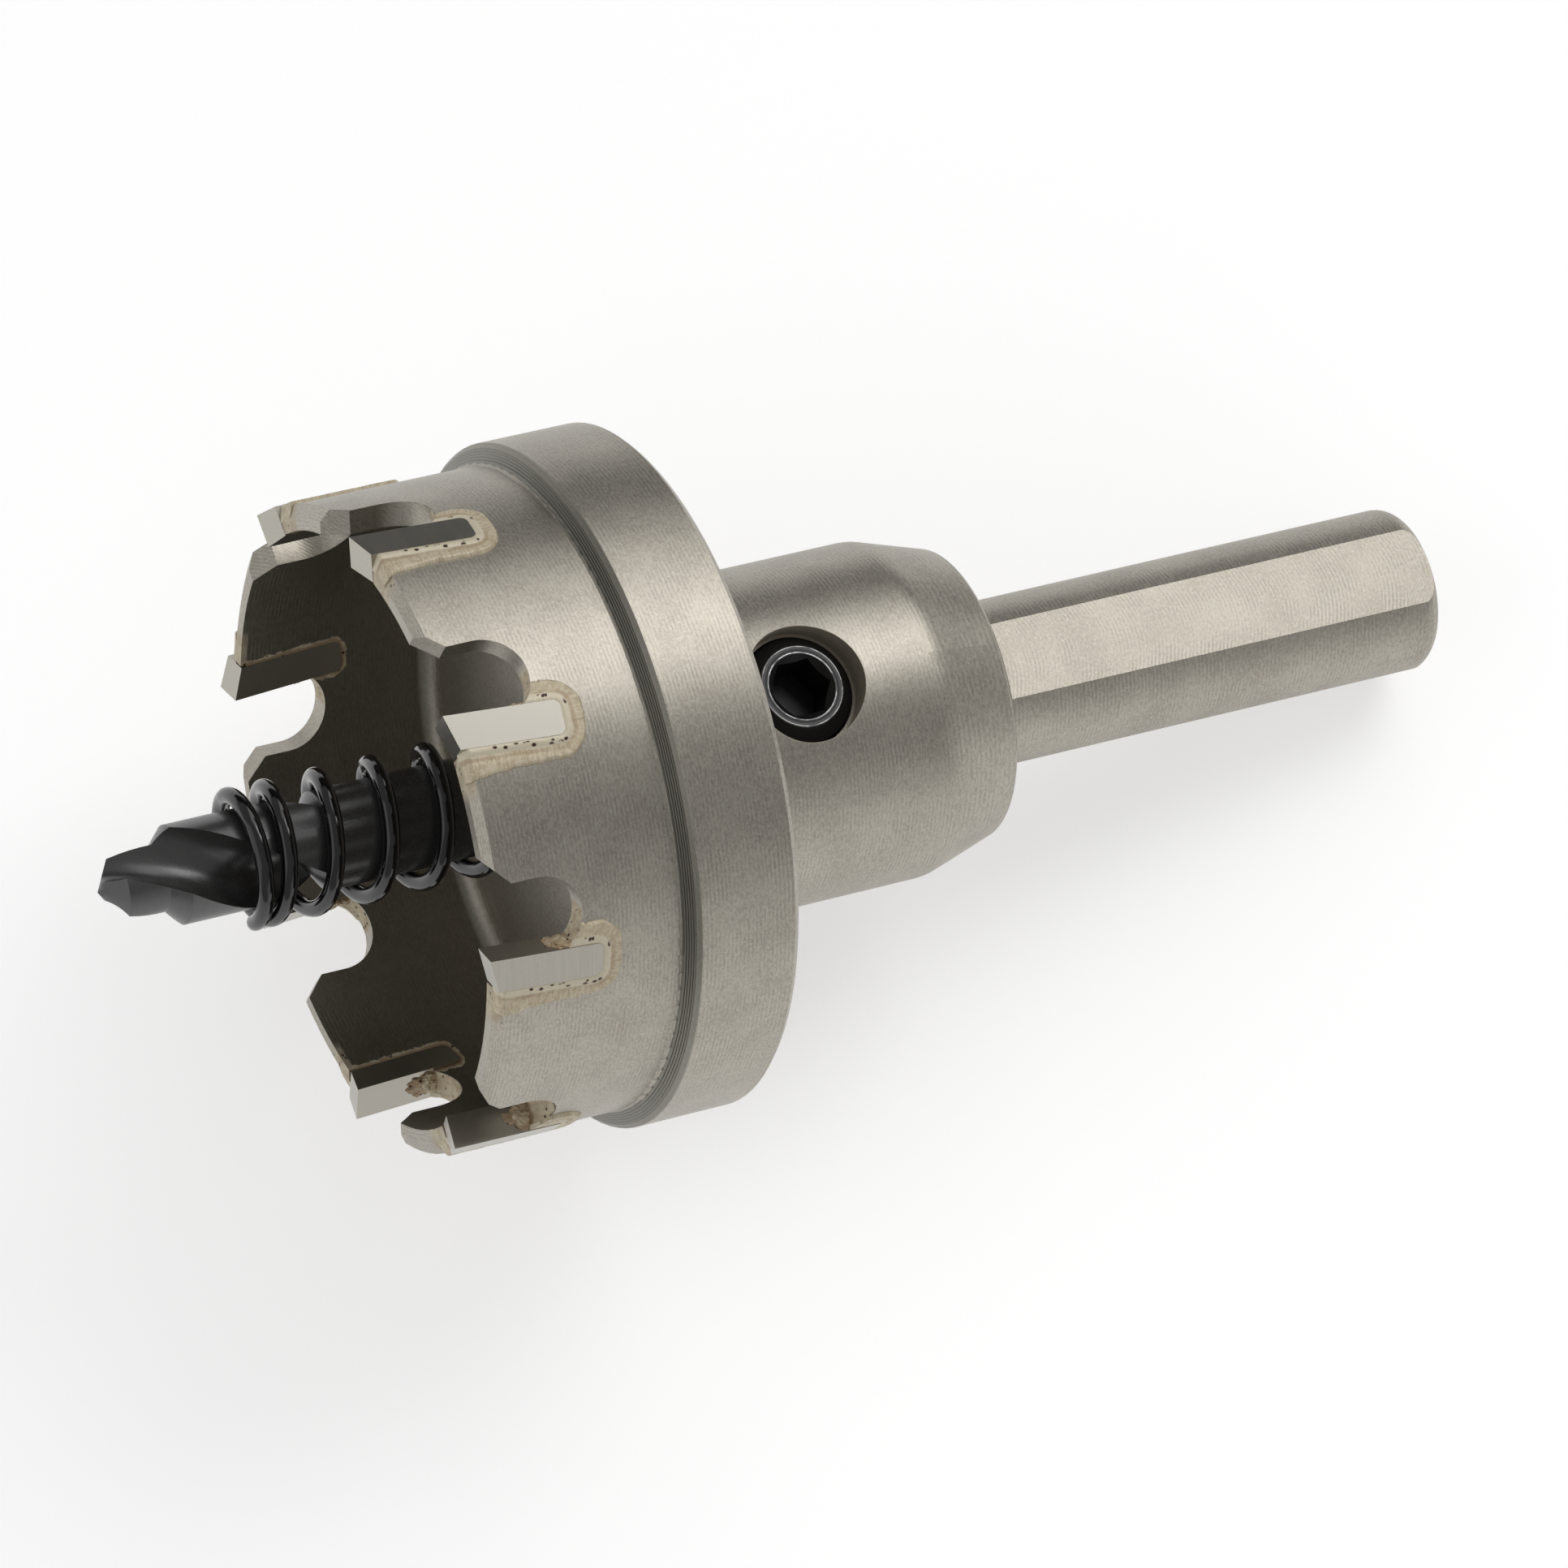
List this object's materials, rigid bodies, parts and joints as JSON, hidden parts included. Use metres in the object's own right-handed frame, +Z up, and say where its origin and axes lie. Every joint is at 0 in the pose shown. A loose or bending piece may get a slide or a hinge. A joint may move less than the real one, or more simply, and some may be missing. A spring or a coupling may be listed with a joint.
{
  "type": "carbide-tipped hole saw",
  "caption": "Hole saw: a steel cup with brazed carbide teeth and a stop flange on one hub and flatted shank, with a pilot drill, its ejector spring and a set screw.",
  "frame": {"origin": "on the surface that the tool lies on, under the middle of its length and width", "axes": "+X from the cutting end to the shank's end, as seen from above; +Z up. The tool's own axis leans 17 degrees down towards +X, as it lies on its flange and the end of its shank"},
  "size_m": [0.0808, 0.0398, 0.0426],
  "materials": {
    "body_steel": "fine turned satin steel",
    "carbide": "ground tungsten carbide",
    "braze_metal": "rough brazing alloy with flux residue",
    "drill_steel": "black oxide",
    "spring_steel": "glossy black",
    "screw_steel": "black oxide with worn edges"
  },
  "bodies": {
    "root": {"braze_joint_1": "braze_metal", "braze_joint_2": "braze_metal", "braze_joint_3": "braze_metal", "braze_joint_4": "braze_metal", "braze_joint_5": "braze_metal", "braze_joint_6": "braze_metal", "braze_joint_7": "braze_metal", "braze_joint_8": "braze_metal", "carbide_tooth_1": "carbide", "carbide_tooth_2": "carbide", "carbide_tooth_3": "carbide", "carbide_tooth_4": "carbide", "carbide_tooth_5": "carbide", "carbide_tooth_6": "carbide", "carbide_tooth_7": "carbide", "carbide_tooth_8": "carbide", "cutter_body": "body_steel", "ejector_spring": "spring_steel", "pilot_drill": "drill_steel", "set_screw": "screw_steel"}
  },
  "joints": []
}
